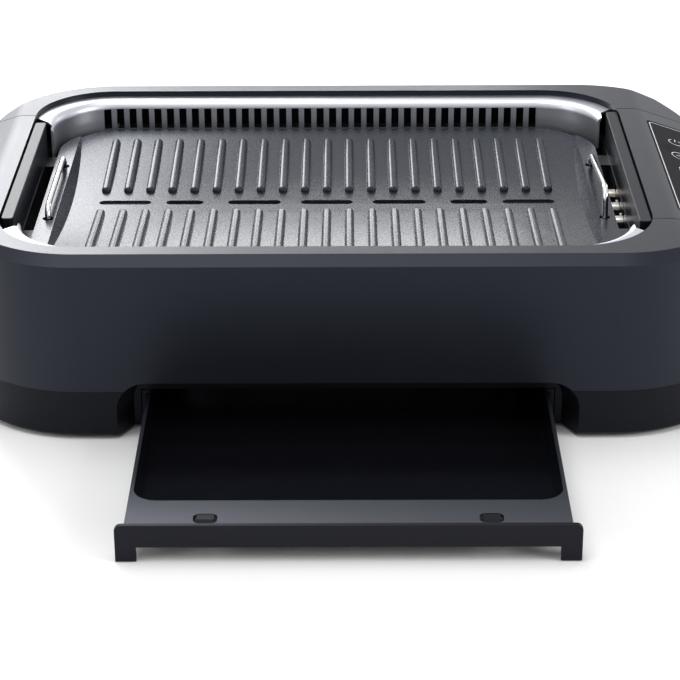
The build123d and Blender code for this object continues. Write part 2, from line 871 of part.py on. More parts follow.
def contact_clips():
    """Split spring rings that grip the sleeves inside the socket block."""
    clips = []
    for y in plug_ys:
        x0 = tip_axis_x - clip_l / 2
        x1 = tip_axis_x + clip_l / 2
        ring = along_x(clip_r, x0, x1, y, term_z) - along_x(clip_bore_r, x0 - 1, x1 + 1, y, term_z)
        ring -= block(x0 - 1, x1 + 1, y - clip_slit / 2, y + clip_slit / 2, term_z, term_z + 2 * clip_r)
        clips.append(ring)
    return Compound(children=clips)


def block_screws():
    """Two screws that hold the socket block to the tub."""
    screws = []
    for y in block_screw_ys():
        head_x = block_x + block_l
        screws.append(along_x(small_screw_r, well_x + tub_half_w - 1, head_x, y, term_z)
                      + along_x(small_head_r, head_x, head_x + small_head_h, y, term_z))
    return Compound(children=screws)


def plate_rests():
    """Four steel brackets at the short ends of the tub that the plate lies on."""
    brackets = []
    for side, y in all_four(1.0, rest_y):
        face_x = well_x + side * tub_half_w
        y0 = y - rest_w / 2
        y1 = y + rest_w / 2
        tab = block(*sorted((face_x, face_x - side * rest_reach)), y0, y1, rest_top_z - rest_t, rest_top_z)
        back = block(*sorted((face_x, face_x - side * rest_t)), y0, y1, rest_top_z - rest_h, rest_top_z)
        brackets.append(tab + back)
    return Compound(children=brackets)


def tub_post_places():
    """Where the tub's flange is screwed to the base."""
    return [(well_x + x, y) for x, y in all_four(tub_post_x, tub_post_y)]


def base_form(inset, low_z, high_z):
    """The outline of the base, or the same set in by a wall."""
    return slab(half_w - base_inset - inset, half_d - base_inset - inset,
                body_corner_r - base_inset - inset, low_z, high_z)


def power_corners():
    """Where the power board is held."""
    inset = 2 * standoff_r
    return [(power_x + x, power_y + y)
            for x, y in all_four(power_w / 2 - inset, power_l / 2 - inset)]


def cooling_slots():
    """Two rows of slots in the floor, under the power board and in front of the fan."""
    slot = extrude(SlotOverall(cool_l, cool_w), 4 * floor_t)
    cuts = []
    for x, mid_y in ((power_x, power_y), (fan_x, fan_cool_y)):
        for n in range(cool_count):
            y = mid_y + (n - (cool_count - 1) / 2) * cool_pitch
            cuts.append(Pos(x, y, base_z - floor_t) * slot)
    return cuts


def base_pan():
    """Black base: floor, low wall, the drawer's mouth, posts and screw bosses."""
    rim = base_form(0, base_z, base_top_z)
    rim = chamfer(rim.faces().sort_by(Axis.Z)[0].edges(), base_chamfer)
    pan = rim - base_form(wall, floor_z, base_top_z + 1)
    tongue_in = wall + fit_gap - base_inset
    pan += (base_form(tongue_in, floor_z, seam_z + tongue_h)
            - base_form(tongue_in + tongue_t, floor_z - 1, seam_z + tongue_h + 1))
    back_y = mouth_back_y + tunnel_t
    tunnel = mouth_form(tunnel_t, -half_d + wall + fit_gap, back_y)
    pan += tunnel & block(-half_w, half_w, -half_d, back_y, base_z, seam_z * 2)
    pan -= mouth_form(0, -half_d - wall, mouth_back_y)
    pan -= block(-rail_out - rail_gap, rail_out + rail_gap, mouth_back_y - 1, back_y + 1, floor_z,
                 rail_top_z + rail_gap)
    for x, y in post_places():
        pan += upright(boss_r, x, y, base_z, base_z + boss_h)
    for x, y in tub_post_places():
        pan += upright(tub_post_r, x, y, base_z, flange_low_z)
    for x, y in power_corners():
        pan += upright(standoff_r, x, y, base_z, floor_z + standoff_h)
    for x, y in post_places():
        pan -= upright(screw_r, x, y, base_z - 1, base_z + boss_h + 1)
        pan -= upright(screw_head_r + fit_gap, x, y, base_z - 1, base_z + boss_h - screw_head_h)
    for x, y in tub_post_places():
        pan -= upright(screw_r, x, y, flange_low_z - screw_l, flange_low_z + 1)
    for x, y in power_corners():
        pan -= upright(small_screw_r, x, y, floor_z, floor_z + standoff_h + 1)
    for x, y in all_four(foot_x, foot_y):
        pan -= upright(foot_stem_r, x, y, base_z - 1, floor_z + 1)
    for x, y in fan_lugs():
        pan -= upright(small_screw_r, x, y, base_z + small_head_h / 2, scroll_z + 1)
    pan -= block(outlet_left + scroll_t, outlet_left + outlet_w - scroll_t, half_d - 4 * wall,
                 half_d + 1, *exhaust_z)
    pan -= along_y(gland_body_r, half_d - 4 * wall, half_d + 1, gland_x, gland_z)
    return pan.cut(*cooling_slots())


def foot(x, y):
    """Rubber foot with a stem pressed into the floor."""
    pad = upright(foot_r, x, y, 0, foot_h)
    pad = chamfer(pad.faces().sort_by(Axis.Z)[0].edges(), foot_h / 4)
    return pad + upright(foot_stem_r, x, y, foot_h, foot_h + foot_stem_h)


def screw_up(x, y, head_z, length, r, head_r, head_h):
    """A screw driven upward, its head below."""
    return upright(head_r, x, y, head_z - head_h, head_z) + upright(r, x, y, head_z, head_z + length)


def screw_down(x, y, head_z, length, r, head_r, head_h):
    """A screw driven downward, its head on top."""
    return upright(head_r, x, y, head_z, head_z + head_h) + upright(r, x, y, head_z - length, head_z)


def housing_screws():
    """Eight screws that join base and housing from below."""
    seat_z = base_z + boss_h - screw_head_h
    return Compound(children=[
        screw_up(x, y, seat_z, screw_l, screw_r, screw_head_r, screw_head_h)
        for x, y in post_places()])


def tub_screws():
    """Four screws through the tub's flange."""
    return Compound(children=[
        screw_down(x, y, flange_top_z, screw_l - tub_t, screw_r, small_head_r, small_head_h)
        for x, y in tub_post_places()])


def drawer_rail(side):
    """Plastic guide: a web beside the tray, a lip over its rim and a stop at the back."""
    end_y = tray_shut_y + fit_gap + rail_t
    outline = [
        (rail_in, floor_z), (rail_out, floor_z), (rail_out, rail_top_z),
        (tray_half_w - rail_lip_w, rail_top_z),
        (tray_half_w - rail_lip_w, rail_top_z - rail_lip_t), (rail_in, rail_top_z - rail_lip_t),
    ]
    rail = prism_y([(side * x, z) for x, z in outline], mouth_back_y, end_y)
    x0, x1 = sorted((side * (rail_out - 1), side * (rail_out + rail_foot_w)))
    rail += block(x0, x1, mouth_back_y + rail_foot_start, end_y, floor_z, floor_z + rail_foot_t)
    x0, x1 = sorted((side * (rail_out - rail_stop_w), side * rail_out))
    rail += block(x0, x1, end_y - rail_t, end_y, floor_z, rail_top_z)
    return rail


def drip_tray():
    """Drip tray with a deep pan and a flat shelf in front of it."""
    shelf_back = front_y + shelf_l
    pan_mid = (shelf_back + tray_rear_y - tray_wall) / 2
    pan_half = (tray_rear_y - tray_wall - shelf_back) / 2
    pan = slab(tray_half_w, pan_half + tray_wall, tray_r + tray_wall, tray_z, front_top_z, 0, pan_mid)
    inner_half_w = tray_half_w - tray_wall
    pan += block(-tray_half_w, tray_half_w, front_y + front_t, shelf_back + tray_r,
                 front_top_z - shelf_t, front_top_z)
    for side in (-1, 1):
        x0, x1 = sorted((side * tray_half_w, side * inner_half_w))
        pan += block(x0, x1, front_y + front_t, shelf_back + tray_r, front_top_z - skirt_h, front_top_z)
        pan -= window(side * clip_x)
    pan -= slab(inner_half_w, pan_half, tray_r, tray_z + tray_floor_t, front_top_z + 1, 0, pan_mid)
    return pan


def window(x):
    """The hole in the shelf that a clip of the front snaps into."""
    cut = extrude(RectangleRounded(window_w, window_d, window_r), 3 * shelf_t)
    return Pos(x, front_y + clip_back, front_top_z - 2 * shelf_t) * cut


def drawer_front():
    """Front bar on two short legs, snapped onto the tray's shelf."""
    low_z = front_top_z - front_h
    bar = block(-front_half_w, front_half_w, front_y, front_y + front_t, leg_z, front_top_z)
    corners = bar.edges().filter_by(Axis.Y).group_by(Axis.Z)[-1]
    bar = fillet(corners, front_r)
    bar -= block(-front_half_w + leg_w, front_half_w - leg_w, front_y - 1, front_y + front_t + 1,
                 leg_z - 1, low_z)
    bar = fillet(bar.faces().sort_by(Axis.Y)[0].edges(), front_t / 5)
    for side in (-1, 1):
        x0, x1 = sorted((side * front_half_w, side * (front_half_w - leg_t)))
        bar += block(x0, x1, front_y + front_t / 2, front_y + leg_depth, leg_z, low_z + front_r)
        x0 = side * clip_x - boss_w / 2
        arm_top = front_top_z - shelf_t
        boss_back = front_y + clip_back + boss_d / 2
        bar += block(x0, x0 + boss_w, front_y + front_t / 2, boss_back, arm_top - arm_t, arm_top)
        boss = block(x0, x0 + boss_w, boss_back - boss_d, boss_back, arm_top - arm_t / 2,
                     front_top_z + boss_rise)
        bar += chamfer(boss.faces().sort_by(Axis.Z)[-1].edges().sort_by(Axis.Y)[0], boss_d / 4)
    return bar


def fan_lugs():
    """Where the scroll is screwed to the floor, beside its outlet and round its back."""
    reach = scroll_r + fan_lug_r - scroll_t
    return [(fan_x + reach * cos(radians(a)), fan_y + reach * sin(radians(a))) for a in (-110, -20, 60)]


def scroll_form(grow, low_z, high_z):
    """The outline of the fan scroll with its outlet to the back wall."""
    drum = upright(scroll_r + grow, fan_x, fan_y, low_z, high_z)
    end_y = half_d - base_inset - wall - outlet_gap if grow == 0 else half_d
    return drum + block(outlet_left - grow, outlet_left + outlet_w + grow, fan_y, end_y, low_z, high_z)


def fan_housing():
    """Scroll that leads the air from the impeller to the back."""
    lug_h = 2 * scroll_t
    scroll = scroll_form(0, scroll_z, cover_z)
    for x, y in fan_lugs():
        scroll += upright(fan_lug_r, x, y, scroll_z - scroll_lift, scroll_z + lug_h)
    scroll -= scroll_form(-scroll_t, fan_floor_z, cover_z + 1)
    for x, y in fan_lugs():
        scroll -= upright(small_screw_r, x, y, floor_z - 1, scroll_z + lug_h + 1)
    return scroll


def fan_cover():
    """Lid of the scroll with a ring and cross bars over the inlet."""
    lid = scroll_form(0, cover_z, cover_z + cover_t)
    lid -= upright(inlet_r, fan_x, fan_y, cover_z - 1, cover_z + cover_t + 1)
    ring_r = inlet_r / 2
    bars = [upright(ring_r, fan_x, fan_y, cover_z, cover_z + cover_t)
            - upright(ring_r - cover_t, fan_x, fan_y, cover_z - 1, cover_z + cover_t + 1)]
    spoke = Pos((ring_r + inlet_r) / 2, 0, 0) * Box(inlet_r - ring_r + cover_t, cover_t, cover_t)
    for n in range(spoke_count):
        turn = Rot(0, 0, n * 360 / spoke_count)
        bars.append(Pos(fan_x, fan_y, cover_z + cover_t / 2) * turn * spoke)
    return lid.fuse(*bars)


def fan_motor():
    """Small motor on the scroll's floor, under the impeller's cup."""
    can = upright(motor_r, fan_x, fan_y, fan_floor_z, fan_floor_z + motor_h)
    can = chamfer(can.faces().sort_by(Axis.Z)[-1].edges(), scroll_t)
    return can - upright(shaft_r + shaft_fit, fan_x, fan_y, fan_floor_z + motor_h / 4,
                         fan_floor_z + motor_h + 1)


def fan_shaft():
    """Steel shaft from the motor to the top of the cup."""
    return upright(shaft_r, fan_x, fan_y, fan_floor_z + motor_h / 3, impeller_z + cup_h)


def fan_impeller():
    """Cup over the motor, a disc, upright blades and a ring that ties their tops."""
    top_z = impeller_z + impeller_h
    cup = upright(cup_r, fan_x, fan_y, impeller_z, impeller_z + cup_h)
    disc = upright(impeller_r, fan_x, fan_y, impeller_z, impeller_z + disc_t)
    tie = (upright(impeller_r, fan_x, fan_y, top_z - disc_t, top_z)
           - upright(impeller_r - tie_w, fan_x, fan_y, top_z - disc_t - 1, top_z + 1))
    blade = Pos(impeller_r - blade_l / 2 - disc_t / 2, 0, 0) * Rot(0, 0, blade_turn) * Box(
        blade_l, blade_t, impeller_h - disc_t)
    blades = []
    for n in range(blade_count):
        turn = Rot(0, 0, n * 360 / blade_count)
        blades.append(Pos(fan_x, fan_y, impeller_z + impeller_h / 2) * turn * blade)
    wheel = cup.fuse(disc, tie, *blades)
    wheel -= upright(cup_r - cup_t, fan_x, fan_y, impeller_z - 1, impeller_z + cup_h - cup_t)
    return wheel - upright(shaft_r, fan_x, fan_y, impeller_z, impeller_z + cup_h + 1)


def fan_screws():
    """Three screws that hold the scroll down."""
    return Compound(children=[
        screw_down(x, y, scroll_z + 2 * scroll_t, 2 * scroll_t + scroll_lift, small_screw_r,
                   small_head_r, small_head_h)
        for x, y in fan_lugs()])


def exhaust_grille():
    """Slatted cover over the air outlet in the back of the base."""
    face_y = half_d - base_inset + touch_gap
    x0 = outlet_left + scroll_t - grille_margin
    x1 = outlet_left + outlet_w - scroll_t + grille_margin
    z0 = exhaust_z[0] - grille_margin
    z1 = exhaust_z[1] + grille_margin / 2
    frame = block(x0, x1, face_y, face_y + grille_t, z0, z1)
    frame -= block(x0 + grille_margin, x1 - grille_margin, face_y - 1, face_y + grille_t + 1,
                   *exhaust_z)
    pitch = (exhaust_z[1] - exhaust_z[0]) / (grille_slats + 1)
    for n in range(grille_slats):
        z = exhaust_z[0] + (n + 1) * pitch
        frame += block(x0 + 1, x1 - 1, face_y, face_y + grille_t, z - slat_t / 2, z + slat_t / 2)
    return frame


def power_board():
    """Board that switches the heater: relay, capacitor and a finned heat sink."""
    z = floor_z + standoff_h
    board = block(power_x - power_w / 2, power_x + power_w / 2, power_y - power_l / 2,
                  power_y + power_l / 2, z, z + board_t)
    for x, y in power_corners():
        board -= upright(small_screw_r, x, y, z - 1, z + board_t + 1)
    top = z + board_t
    middle = (Align.CENTER, Align.CENTER, Align.MIN)
    board += Pos(power_x + relay_x, power_y + relay_y, top) * Box(relay_w, relay_l, relay_h, align=middle)
    board += upright(can_r, power_x + can_x, power_y + can_y, top, top + can_h)
    board += Pos(power_x, power_y + sink_y, top) * Box(sink_w, sink_t, sink_h, align=middle)
    fin = Box(fin_t, fin_l, sink_h, align=middle)
    for n in range(fin_count):
        x = power_x - (sink_w - fin_t) / 2 + n * (sink_w - fin_t) / (fin_count - 1)
        board += Pos(x, power_y + sink_y + fin_l / 2, top) * fin
    return board


def board_screws():
    """Four screws that hold the power board."""
    z = floor_z + standoff_h + board_t
    return Compound(children=[
        screw_down(x, y, z, standoff_h / 2 + board_t, small_screw_r, small_head_r, small_head_h)
        for x, y in power_corners()])


def cord_gland():
    """Bush for the mains cord: a flange and short boot outside, a nut inside."""
    face_y = half_d - base_inset
    inner_y = face_y - wall
    gland = along_y(gland_body_r, inner_y - gland_nut_t, face_y + gland_flange_t + gland_boot_l,
                    gland_x, gland_z)
    gland += along_y(gland_flange_r, face_y, face_y + gland_flange_t, gland_x, gland_z)
    gland += along_y(gland_flange_r, inner_y - gland_nut_t, inner_y - tongue_t - fit_gap,
                     gland_x, gland_z)
    return gland - along_y(gland_bore_r, inner_y - gland_nut_t - 1,
                           face_y + gland_flange_t + gland_boot_l + 1, gland_x, gland_z)


def thermal_cutout():
    """Safety thermostat on the underside of the tub."""
    x = well_x + heater_right
    y = -heater_half_d
    ear = block(x - cutout_ear, x + cutout_ear, y - cutout_ear_w / 2, y + cutout_ear_w / 2,
                tub_floor_z - cutout_ear_t, tub_floor_z)
    return upright(cutout_r, x, y, tub_floor_z - cutout_h, tub_floor_z) + ear


os.makedirs("parts", exist_ok=True)

save("base_pan", base_pan())
save("upper_housing", upper_housing())
save("left_side_panel", side_panel(-1, left_panel_y))
save("right_control_panel", right_control_panel())
save("touch_glass", touch_glass())
save("control_board", control_board())
save("liner_rear", liner(1))
save("liner_front", liner(-1))
save("guard_left", side_guard(-1, left_guard_y))
save("guard_right", side_guard(1, right_guard_y))
save("inner_tub", inner_tub())
save("plate_rests", plate_rests())
save("terminal_block", terminal_block())
save("contact_clips", contact_clips())
save("block_screws", block_screws())
save("tub_screws", tub_screws())
save("housing_screws", housing_screws())
save("rail_left", drawer_rail(-1))
save("rail_right", drawer_rail(1))
save("power_board", power_board())
save("board_screws", board_screws())
save("cord_gland", cord_gland())
save("thermal_cutout", thermal_cutout())
save("fan_housing", fan_housing())
save("fan_cover", fan_cover())
save("fan_motor", fan_motor())
save("fan_screws", fan_screws())
save("exhaust_grille", exhaust_grille())
for y_side, y_name in ((-1, "front"), (1, "rear")):
    for x_side, x_name in ((-1, "left"), (1, "right")):
        save(f"foot_{y_name}_{x_name}", foot(x_side * foot_x, y_side * foot_y))

save("grill_plate", grill_plate())
save("heating_element", heating_element())
save("terminal_plugs", Compound(children=[plug(plug_ys[0]), plug(plug_ys[2])]))
save("temperature_probe", temperature_probe())
save("terminal_carrier", terminal_carrier())
save("handle_left", wire_handle(-1))
save("handle_right", tilted_handle(1))

save("drip_tray", drip_tray())
save("drawer_front", drawer_front())

save("fan_impeller", fan_impeller())
save("fan_shaft", fan_shaft())
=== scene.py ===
import math

import bpy
from mathutils import Matrix, Vector


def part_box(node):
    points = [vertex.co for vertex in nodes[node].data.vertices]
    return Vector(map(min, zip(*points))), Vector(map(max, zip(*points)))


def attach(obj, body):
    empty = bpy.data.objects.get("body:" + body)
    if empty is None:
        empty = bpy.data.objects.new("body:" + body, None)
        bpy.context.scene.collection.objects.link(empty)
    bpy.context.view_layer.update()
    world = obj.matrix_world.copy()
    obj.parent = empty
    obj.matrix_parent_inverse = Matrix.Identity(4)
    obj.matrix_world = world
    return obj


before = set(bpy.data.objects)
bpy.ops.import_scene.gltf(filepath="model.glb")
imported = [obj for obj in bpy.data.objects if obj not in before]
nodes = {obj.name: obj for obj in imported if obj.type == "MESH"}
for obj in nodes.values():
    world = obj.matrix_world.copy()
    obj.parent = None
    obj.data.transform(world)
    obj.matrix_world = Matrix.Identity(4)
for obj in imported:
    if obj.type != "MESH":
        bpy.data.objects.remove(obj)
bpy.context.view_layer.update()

# Charcoal shell: the upper housing with its rim, and the two side covers that close its shoulders.
# Injection-moulded plastic with a fine satin grain. The covers hook behind the housing's wall and leave
# narrow parting lines across the rim.


class Wire:
    """One output of a node. Arithmetic on the wires of a material adds Math nodes."""

    def __init__(self, tree, socket=None):
        self.tree = tree
        self.socket = socket

    def node(self, kind, inputs=None, output=0, **settings):
        """Add a node, set it up, feed its sockets with values or wires and return one output."""
        made = self.tree.nodes.new(kind)
        for name, value in settings.items():
            setattr(made, name, value)
        for name, value in (inputs or {}).items():
            if isinstance(value, Wire):
                self.tree.links.new(value.socket, made.inputs[name])
            else:
                made.inputs[name].default_value = value
        return Wire(self.tree, made.outputs[output])

    def maths(self, operation, first, second):
        """One Math node on two values."""
        return self.node("ShaderNodeMath", {0: first, 1: second}, operation=operation)

    def __add__(self, other):
        return self.maths("ADD", self, other)

    def __radd__(self, other):
        return self.maths("ADD", other, self)

    def __sub__(self, other):
        return self.maths("SUBTRACT", self, other)

    def __rsub__(self, other):
        return self.maths("SUBTRACT", other, self)

    def __mul__(self, other):
        return self.maths("MULTIPLY", self, other)

    def __rmul__(self, other):
        return self.maths("MULTIPLY", other, self)

    def above(self, level, soft):
        """0 below a level and 1 above it, with a soft step between."""
        return self.node("ShaderNodeMapRange", {"Value": self, "From Min": level, "From Max": level + soft},
                         interpolation_type="SMOOTHSTEP", clamp=True)


class Finish:
    """A material with one Principled surface, its plain colour, and wires for what varies over it."""

    def __init__(self, name, colour, **fixed):
        self.material = bpy.data.materials.new(name)
        self.material.use_nodes = True
        self.tree = self.material.node_tree
        self.surface = self.tree.nodes["Principled BSDF"]
        self.wire = Wire(self.tree)
        self.place = self.wire.node("ShaderNodeTexCoord", output="Object")
        self.surface.inputs["Base Color"].default_value = (*colour, 1)
        for socket, value in fixed.items():
            self.surface.inputs[socket.replace("_", " ")].default_value = value

    def noise(self, size, detail=2.0, stretch=(1, 1, 1)):
        """Noise with features of a given size in metres, between 0 and 1."""
        place = self.wire.node("ShaderNodeMapping", {"Vector": self.place, "Scale": stretch})
        return self.wire.node("ShaderNodeTexNoise", {"Vector": place, "Scale": 1 / size, "Detail": detail})

    def mixed(self, share, first, second):
        """A colour between two colours, which are the node's inputs 6 and 7."""
        ends = [end if isinstance(end, Wire) else (*end, 1) for end in (first, second)]
        return self.wire.node("ShaderNodeMix", {"Factor": share, 6: ends[0], 7: ends[1]}, output=2,
                              data_type="RGBA")

    def feed(self, socket, wire):
        """Let a wire drive one of the surface's sockets."""
        self.tree.links.new(wire.socket, self.surface.inputs[socket])

    def relief(self, height, depth, strength):
        """Bumps from a height between 0 and 1."""
        bump = self.wire.node("ShaderNodeBump", {"Height": height, "Distance": depth, "Strength": strength})
        self.feed("Normal", bump)


def dress(material, *names):
    """Give whole CAD nodes one material."""
    for name in names:
        slots = nodes[name].data.materials
        slots.clear()
        slots.append(material)


cool_sheen = (0.76, 0.82, 1.0, 1)
speck_size = 0.0011
drift_size = 0.09


def moulded(name, colour, rough, grain, depth, dust, shine=0.25):
    """Moulded plastic: a fine spark-eroded grain, slow changes of gloss and a trace of dust."""
    finish = Finish(name, colour, Specular_IOR_Level=shine, Specular_Tint=cool_sheen)
    grained = finish.noise(grain, 3.0)
    drift = finish.noise(drift_size, 2.0)
    specks = finish.noise(speck_size, 1.0).above(0.70, 0.03)
    finish.feed("Roughness", drift * 0.08 + (rough - 0.04) + specks * 0.1)
    pale = tuple(0.6 * c + 0.4 * dust for c in colour)
    finish.feed("Base Color", finish.mixed(specks * 0.35 + drift * 0.1, colour, pale))
    finish.relief(grained, depth, 0.6)
    return finish.material


shell_charcoal = moulded("shell_charcoal", (0.0060, 0.0072, 0.0115), rough=0.34, grain=0.0005,
                         depth=0.00003, dust=0.04, shine=0.30)
dress(shell_charcoal, "upper_housing", "left_side_panel", "right_control_panel")

# Base pan with the drawer's mouth, the drawer's rails, the cord gland and the exhaust grille.
# All are black mouldings, duller than the shell. The base is screwed to the shell from underneath.

base_black = moulded("base_black", (0.0042, 0.0042, 0.0056), rough=0.36, grain=0.0006, depth=0.00003,
                     dust=0.03, shine=0.15)
dress(base_black, "base_pan", "rail_left", "rail_right", "cord_gland", "exhaust_grille")

# Four feet of soft black rubber with a matt, slightly dusty skin.
# Their stems are pressed into the floor of the base.

foot_rubber = moulded("foot_rubber", (0.017, 0.017, 0.017), rough=0.75, grain=0.0012, depth=0.00008,
                      dust=0.08)
dress(foot_rubber, "foot_front_left", "foot_front_right", "foot_rear_left", "foot_rear_right")

# Silver liners round the cooking well: satin anodised sheet with a rolled lip.
# The sheet is drawn along its length, so its fine lines run level round the well.


def drawn_metal(name, colour, rough, line, depth, stretch=(1, 1, 14)):
    """Sheet metal with fine drawn lines and slow changes of gloss."""
    finish = Finish(name, colour, Metallic=1.0)
    lines = finish.noise(line, 2.0, stretch)
    clouds = finish.noise(0.05, 2.0)
    finish.feed("Roughness", lines * 0.10 + clouds * 0.08 + (rough - 0.09))
    dull = tuple(0.86 * c for c in colour)
    finish.feed("Base Color", finish.mixed(lines * 0.5 + clouds * 0.3, colour, dull))
    finish.relief(lines, depth, 0.5)
    return finish.material


liner_silver = drawn_metal("liner_silver", (0.54, 0.55, 0.60), rough=0.40, line=0.004, depth=0.00002)
dress(liner_silver, "liner_rear", "liner_front")

# Guards: the bars that close the short sides of the well between the ends of the liners.
# Plastic moulded in nearly the shell's grey, with a finer grain and less shine.

guard_grey = moulded("guard_grey", (0.0080, 0.0090, 0.0120), rough=0.34, grain=0.0004, depth=0.00003,
                     dust=0.05, shine=0.12)
dress(guard_grey, "guard_left", "guard_right")

# Tub under the plate, which leads the drips to the drawer, and the rests that carry the plate.
# Both are pressed steel sheet with a dark heat-proof coat, baked on and a little uneven.


def coated_steel(name, colour, rough):
    """Steel that shines through a thin coat, with paler clouds where the coat is thinnest."""
    finish = Finish(name, colour, Metallic=0.65)
    peel = finish.noise(0.0018, 2.0)
    clouds = finish.noise(0.03, 3.0)
    finish.feed("Roughness", clouds * 0.16 + (rough - 0.08))
    worn = tuple(1.6 * c for c in colour)
    finish.feed("Base Color", finish.mixed(clouds.above(0.45, 0.3) * 0.5, colour, worn))
    finish.relief(peel, 0.00005, 0.5)
    return finish.material


tub_coat = coated_steel("tub_coat", (0.030, 0.031, 0.036), 0.36)
dress(tub_coat, "inner_tub", "plate_rests")

# Grill plate: die-cast aluminium with a grey non-stick coat full of pale and dark specks.
# The coat follows the slightly rough skin of the casting. The plate only rests in the well and lifts out.

plate_colour = (0.012, 0.014, 0.020)
plate_pale = (0.10, 0.11, 0.14)
plate_dark = (0.004, 0.0045, 0.0065)
coat = Finish("plate_coat", plate_colour, Specular_IOR_Level=0.22, Specular_Tint=(0.68, 0.75, 1.0, 1))
skin = coat.noise(0.0012, 4.0)
fine_skin = coat.noise(0.0004, 2.0)
pale_specks = coat.noise(0.0007, 1.0).above(0.66, 0.04)
dark_specks = coat.noise(0.0010, 1.0, (1.3, 0.9, 1.1)).above(0.68, 0.04)
speckled = coat.mixed(pale_specks * 0.5, plate_colour, plate_pale)
coat.feed("Base Color", coat.mixed(dark_specks * 0.8, speckled, plate_dark))
coat.feed("Roughness", skin * 0.18 + 0.17 + pale_specks * -0.06)
coat.relief(skin * 0.6 + fine_skin * 0.4, 0.00005, 0.4)
dress(coat.material, "grill_plate")

# Heater tube, its plugs and the temperature probe: stainless steel, turned or drawn.
# Heat has tinted the steel straw-coloured in places.

sheath = Finish("heater_sheath", (0.62, 0.60, 0.57), Metallic=1.0)
turned = sheath.noise(0.0016, 2.0, (6, 1, 1))
tint = sheath.noise(0.012, 2.0)
sheath.feed("Base Color", sheath.mixed(tint.above(0.4, 0.3), (0.66, 0.65, 0.63), (0.52, 0.44, 0.33)))
sheath.feed("Roughness", turned * 0.12 + 0.16)
sheath.relief(turned, 0.00002, 0.5)
dress(sheath.material, "heating_element", "terminal_plugs", "temperature_probe")

# Carrier of the plugs, socket block and thermal cut-out: matt black heat-proof plastic with a coarse grain.
# The block is screwed to the tub's wall and the cut-out sits under the tub.

socket_black = moulded("socket_black", (0.014, 0.013, 0.013), rough=0.55, grain=0.0007, depth=0.00006,
                       dust=0.07)
dress(socket_black, "terminal_carrier", "terminal_block", "thermal_cutout")

# Contact clips: split spring rings, bent from bare brass strip.
# They sit in the bores of the socket block and grip the plugs.

clip_brass = drawn_metal("clip_brass", (0.78, 0.60, 0.28), rough=0.28, line=0.001, depth=0.00001)
dress(clip_brass, "contact_clips")

# Wire handles: bright plated steel wire with faint scuffs from fingers.
# Their hooked ends hang in holes of the plate and let the handles move a little.

plating = Finish("handle_plating", (0.62, 0.62, 0.64), Metallic=1.0)
scuffs = plating.noise(0.0022, 4.0, (1, 5, 1))
plating.feed("Roughness", scuffs.above(0.5, 0.25) * 0.12 + 0.09)
plating.feed("Base Color", plating.mixed(scuffs.above(0.6, 0.2) * 0.3, (0.64, 0.64, 0.66),
                                         (0.48, 0.48, 0.50)))
plating.relief(scuffs, 0.00001, 0.4)
dress(plating.material, "handle_left", "handle_right")

# Drip tray and its front bar, two black mouldings. The tray is polished in its pan and grained on its shelf.
# The bar is plain satin and is held by two bosses in windows of the shelf.

bar_black = moulded("bar_black", (0.0060, 0.0055, 0.0075), rough=0.34, grain=0.0005, depth=0.00003, dust=0.03,
                    shine=0.2)
dress(bar_black, "drawer_front")

shelf_depth = 0.001
shelf_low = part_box("drip_tray")[1][2] - shelf_depth
tray_clean = (0.0030, 0.0030, 0.0042)
tray_marked = (0.0080, 0.0080, 0.0110)
tray = Finish("tray_black", (0.0035, 0.0035, 0.0050), Specular_IOR_Level=1.0, Specular_Tint=cool_sheen)
tray_height = tray.wire.node("ShaderNodeSeparateXYZ", {"Vector": tray.place}, output="Z")
on_shelf = tray_height.above(shelf_low, 0.0005)
tray_grain = tray.noise(0.0009, 3.0)
tray_marks = tray.noise(0.014, 3.0, (1, 2.5, 1)).above(0.55, 0.2)
tray.feed("Roughness", on_shelf * 0.27 + tray_grain * 0.06 + tray_marks * 0.05 + 0.15)
tray.feed("Base Color", tray.mixed(on_shelf * tray_marks * 0.5 + tray_marks * 0.1, tray_clean, tray_marked))
tray.relief(tray_grain * (on_shelf * 0.8 + 0.2), 0.00006, 0.6)
dress(tray.material, "drip_tray")

# Smoke fan: scroll housing, lid and impeller moulded in black plastic.
# The impeller is pressed on the shaft of a small plated motor.

fan_black = moulded("fan_black", (0.016, 0.016, 0.017), rough=0.45, grain=0.0007, depth=0.00004, dust=0.08)
dress(fan_black, "fan_housing", "fan_cover", "fan_impeller")
motor_plate = drawn_metal("motor_plate", (0.55, 0.55, 0.54), rough=0.32, line=0.002, depth=0.00001)
dress(motor_plate, "fan_motor", "fan_shaft")

# Screws that hold the shell, the power board, the fan, the tub and the socket block.
# Zinc-plated steel with the cool, slightly milky look of fresh plating.

screw_zinc = drawn_metal("screw_zinc", (0.62, 0.63, 0.65), rough=0.30, line=0.0008, depth=0.00001,
                         stretch=(1, 1, 3))
dress(screw_zinc, "block_screws", "board_screws", "fan_screws", "housing_screws", "tub_screws")

# Circuit boards: the control board under the touch glass and the power board on posts in the base.
# Green lacquer covers the copper tracks, which show through a little paler.

lacquer = Finish("board_lacquer", (0.012, 0.085, 0.035), Coat_Roughness=0.15)
track_pitch = 1 / 320
tracks = lacquer.wire.node("ShaderNodeTexVoronoi", {"Vector": lacquer.place, "Scale": 1 / track_pitch},
                           feature="DISTANCE_TO_EDGE", distance="MANHATTAN")
copper = 1 - tracks.above(0.06, 0.03)
lacquer.feed("Base Color", lacquer.mixed(copper * 0.6, (0.010, 0.075, 0.030), (0.030, 0.17, 0.07)))
lacquer.feed("Roughness", lacquer.noise(0.004) * 0.15 + 0.3)
lacquer.feed("Coat Weight", lacquer.noise(0.02) * 0.3 + 0.4)
lacquer.relief(copper, 0.00003, 0.6)
dress(lacquer.material, "control_board", "power_board")

# Touch glass: flat tempered glass, printed black from behind and glued flush into the sloping shoulder.
# Finger smears change its gloss a little.

